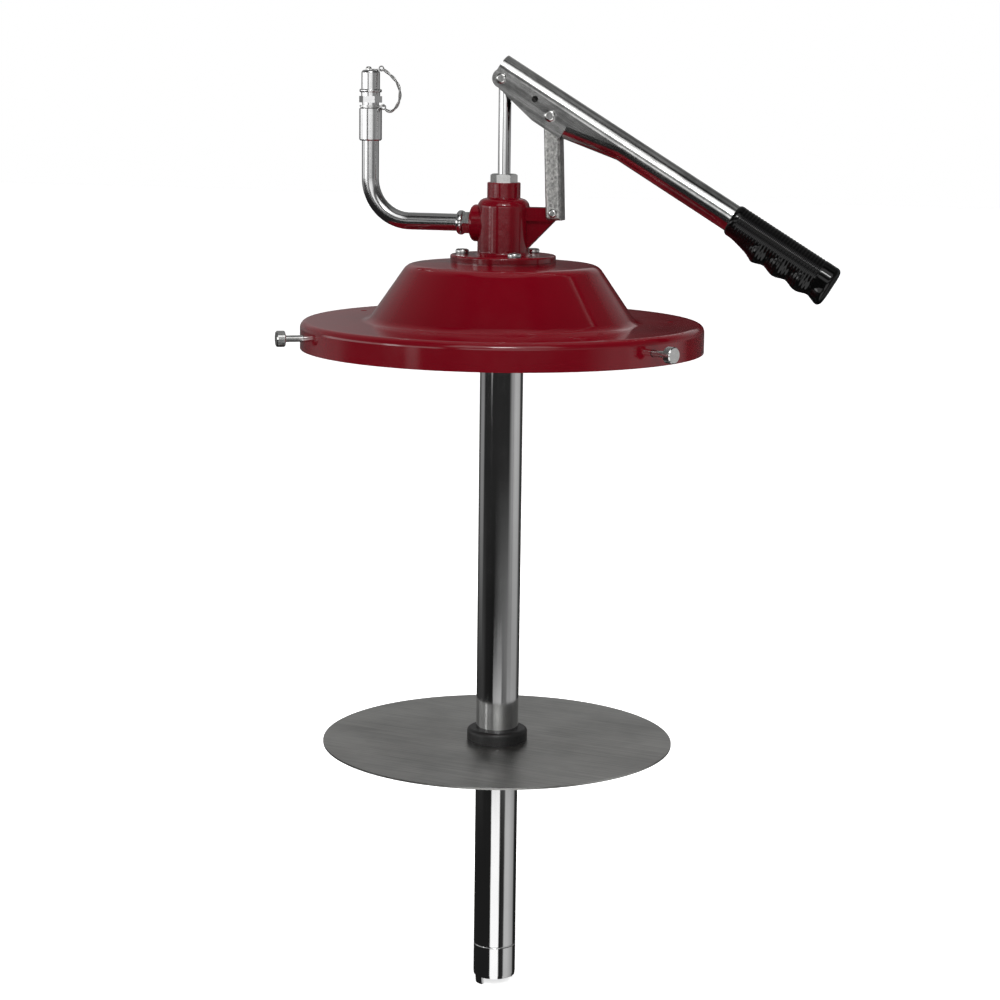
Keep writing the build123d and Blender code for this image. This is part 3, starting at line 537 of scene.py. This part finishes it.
def make_tether():
    line = route_curve([Vector((PIPE_X + x, 0, z)) * MM for x, z in TETHER_ROUTE])
    vertices, faces = [], []
    for strand in range(STRANDS):
        strand_vertices, strand_faces = skin(strand_rings(line, strand / STRANDS))
        start = len(vertices)
        vertices += strand_vertices
        faces += [tuple(start + i for i in face) for face in strand_faces]
    tether = mesh_object("tether", vertices, faces, WIRE, "root")
    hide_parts("cap_tether")
    low_eye = make_eye("tether_eye_low", 10.3, 162.3, "root")
    make_eye("tether_eye_high", 8.6, 191.4, "cap")


make_tether()

# ---------------------------------------------------------------- floor, world, lights and camera

FLOOR_HALF = 12                            # metres from the middle of the floor to its edges
FLOOR_GLOW = 0.72
# Name, place in metres, width and height, and power in watts; each one faces the origin
LIGHTS = [
    ("key", (-0.9, -1.3, 1.6), (1.2, 1.2), 11),
    ("fill", (1.6, -0.9, 1.0), (1.0, 1.0), 9),
    ("back", (0.4, 1.8, 1.4), (1.6, 1.0), 14),
    ("top", (0.1, 0.2, 1.7), (0.9, 0.9), 34),
]
LENS = 88.16
AZIMUTH, PITCH, ROLL = math.radians(15), math.radians(9.94), math.radians(0.72)
CAMERA_DISTANCE, CAMERA_HEIGHT = 1.877, 0.1908

# Belts of the studio from the nadir up: the elevation in degrees where each belt ends, and its brightness
# by bearing in turns, where 0 is +X, 0.25 is behind the pump, 0.5 is its left and 0.75 is its front
BELT_SOFTNESS = 0.012
UPPER_BACK = [(0.0, 0.05), (0.15, 0.10), (0.30, 0.30), (0.45, 0.2), (0.58, 0.06), (0.69, 0.06), (0.71, 1.6)]
UPPER_LAMP = [(0.770, 1.6), (0.776, 50.0), (0.812, 50.0), (0.818, 1.6)]
UPPER_END = [(0.88, 1.6), (0.90, 0.05)]
BELTS = [
    (-15.5, [(0.0, 0.75), (0.103, 0.45), (0.13, 0.02), (0.715, 0.02), (0.727, 1.7), (0.842, 1.7),
             (0.856, 0.02), (0.920, 0.04), (0.940, 0.75)]),
    (-11.5, [(0.0, 0.42), (0.103, 0.45), (0.15, 0.10), (0.20, 0.02), (0.54, 0.08), (0.60, 0.02),
             (0.72, 0.01), (0.80, 0.18), (0.94, 0.32)]),
    (-5.3, [(0.0, 0.60), (0.043, 0.70), (0.11, 0.60), (0.15, 0.05), (0.40, 0.10), (0.44, 0.35),
            (0.50, 0.35), (0.53, 0.03), (0.92, 0.03), (0.97, 0.45)]),
    (-2.8, [(0.0, 0.60), (0.11, 0.60), (0.15, 0.05), (0.50, 0.20), (0.53, 0.03), (0.637, 0.03),
            (0.643, 3.2), (0.658, 3.2), (0.664, 0.02), (0.92, 0.03), (0.97, 0.45)]),
    (12, [(0.0, 0.22), (0.12, 0.35), (0.2, 0.10), (0.265, 0.004), (0.282, 0.02), (0.308, 0.24),
          (0.45, 0.25), (0.48, 1.7), (0.600, 1.7), (0.604, 6.0), (0.626, 6.0), (0.630, 1.7),
          (0.69, 1.7), (0.705, 0.03), (0.722, 0.03), (0.735, 1.7), (0.84, 1.4), (0.88, 0.35)]),
    (27, [(0.0, 0.10), (0.15, 0.20), (0.25, 0.45), (0.278, 0.60), (0.292, 0.42), (0.31, 0.34),
          (0.45, 0.25), (0.58, 0.10), (0.72, 0.10), (0.88, 0.10)]),
    (36, UPPER_BACK + UPPER_END),
    (39.5, UPPER_BACK + UPPER_LAMP + UPPER_END),
    (58, UPPER_BACK + UPPER_END),
    (70, [(0.0, 0.20), (0.40, 0.25), (0.55, 0.01), (0.95, 0.01)]),
    (90, [(0.0, 0.30), (1.0, 0.30)]),
]


def make_floor():
    mesh = bpy.data.meshes.new("floor")
    corners = [(-1, -1), (1, -1), (1, 1), (-1, 1)]
    mesh.from_pydata([(x * FLOOR_HALF, y * FLOOR_HALF, FLOOR_Z) for x, y in corners], [], [(0, 1, 2, 3)])
    s = Shader("floor_paint", (0.86, 0.86, 0.86), roughness=0.9, Specular_IOR_Level=0.1)
    s.set("Emission Color", (1, 1, 1, 1))
    s.set("Emission Strength", FLOOR_GLOW)
    mesh.materials.append(s.material)
    floor = bpy.data.objects.new("floor", mesh)
    bpy.context.scene.collection.objects.link(floor)
    floor.visible_glossy = False


def make_world():
    """A white room to the camera; to every other ray a dark studio with bright panels round the pump."""
    world = bpy.data.worlds.new("studio")
    world.use_nodes = True
    tree = world.node_tree
    tree.nodes.clear()
    link = tree.links.new

    def arithmetic(operation, *values):
        made = tree.nodes.new("ShaderNodeMath")
        made.operation = operation
        for socket, value in zip(made.inputs, values):
            if isinstance(value, (int, float)):
                socket.default_value = value
            else:
                link(value, socket)
        return made.outputs[0]

    def ramp(source, stops):
        made = tree.nodes.new("ShaderNodeValToRGB")
        fill_ramp(made.color_ramp.elements, stops)
        link(source, made.inputs["Fac"])
        return made.outputs["Color"]

    coordinates = tree.nodes.new("ShaderNodeTexCoord")
    split = tree.nodes.new("ShaderNodeSeparateXYZ")
    link(coordinates.outputs["Generated"], split.inputs[0])
    bearing = arithmetic("ARCTAN2", split.outputs["Y"], split.outputs["X"])
    around = arithmetic("FRACT", arithmetic("ADD", arithmetic("DIVIDE", bearing, 2 * math.pi), 1.0))
    elevation = arithmetic("ARCSINE", split.outputs["Z"])
    height = arithmetic("ADD", arithmetic("DIVIDE", elevation, math.pi), 0.5)
    color = ramp(around, BELTS[0][1])
    for (top_of_last, _), (_, belt) in zip(BELTS, BELTS[1:]):
        edge = 0.5 + top_of_last / 180
        mix = tree.nodes.new("ShaderNodeMix")
        mix.data_type = "RGBA"
        link(ramp(height, [(edge - BELT_SOFTNESS, 0.0), (edge + BELT_SOFTNESS, 1.0)]), mix.inputs[MIX_FACTOR])
        link(color, mix.inputs[MIX_FIRST])
        link(ramp(around, belt), mix.inputs[MIX_SECOND])
        color = mix.outputs[MIX_RESULT]
    studio = tree.nodes.new("ShaderNodeBackground")
    link(color, studio.inputs["Color"])
    room = tree.nodes.new("ShaderNodeBackground")
    room.inputs["Color"].default_value = (1, 1, 1, 1)
    path = tree.nodes.new("ShaderNodeLightPath")
    choose = tree.nodes.new("ShaderNodeMixShader")
    link(path.outputs["Is Camera Ray"], choose.inputs[0])
    link(studio.outputs[0], choose.inputs[1])
    link(room.outputs[0], choose.inputs[2])
    output = tree.nodes.new("ShaderNodeOutputWorld")
    link(choose.outputs[0], output.inputs["Surface"])
    bpy.context.scene.world = world


def area_light(name, place, size, power):
    light = bpy.data.lights.new(name, "AREA")
    light.shape = "RECTANGLE"
    light.size, light.size_y = size
    light.energy = power
    lamp = bpy.data.objects.new(name, light)
    lamp.location = place
    lamp.rotation_euler = (-Vector(place)).to_track_quat("-Z", "Y").to_euler()
    lamp.visible_camera = False
    lamp.visible_glossy = False
    bpy.context.scene.collection.objects.link(lamp)


def make_camera():
    camera = bpy.data.cameras.new("camera")
    camera.sensor_width = 36
    camera.lens = LENS
    camera.clip_start = 0.05
    holder = bpy.data.objects.new("camera", camera)
    turn = (Matrix.Rotation(AZIMUTH, 4, "Z") @ Matrix.Rotation(math.pi / 2 - PITCH, 4, "X")
            @ Matrix.Rotation(ROLL, 4, "Z"))
    place = Vector((math.sin(AZIMUTH) * CAMERA_DISTANCE, -math.cos(AZIMUTH) * CAMERA_DISTANCE, CAMERA_HEIGHT))
    holder.matrix_world = Matrix.Translation(place) @ turn
    bpy.context.scene.collection.objects.link(holder)
    bpy.context.scene.camera = holder


make_floor()
make_world()
for light in LIGHTS:
    area_light(*light)
make_camera()
bpy.context.scene.view_settings.view_transform = "Standard"
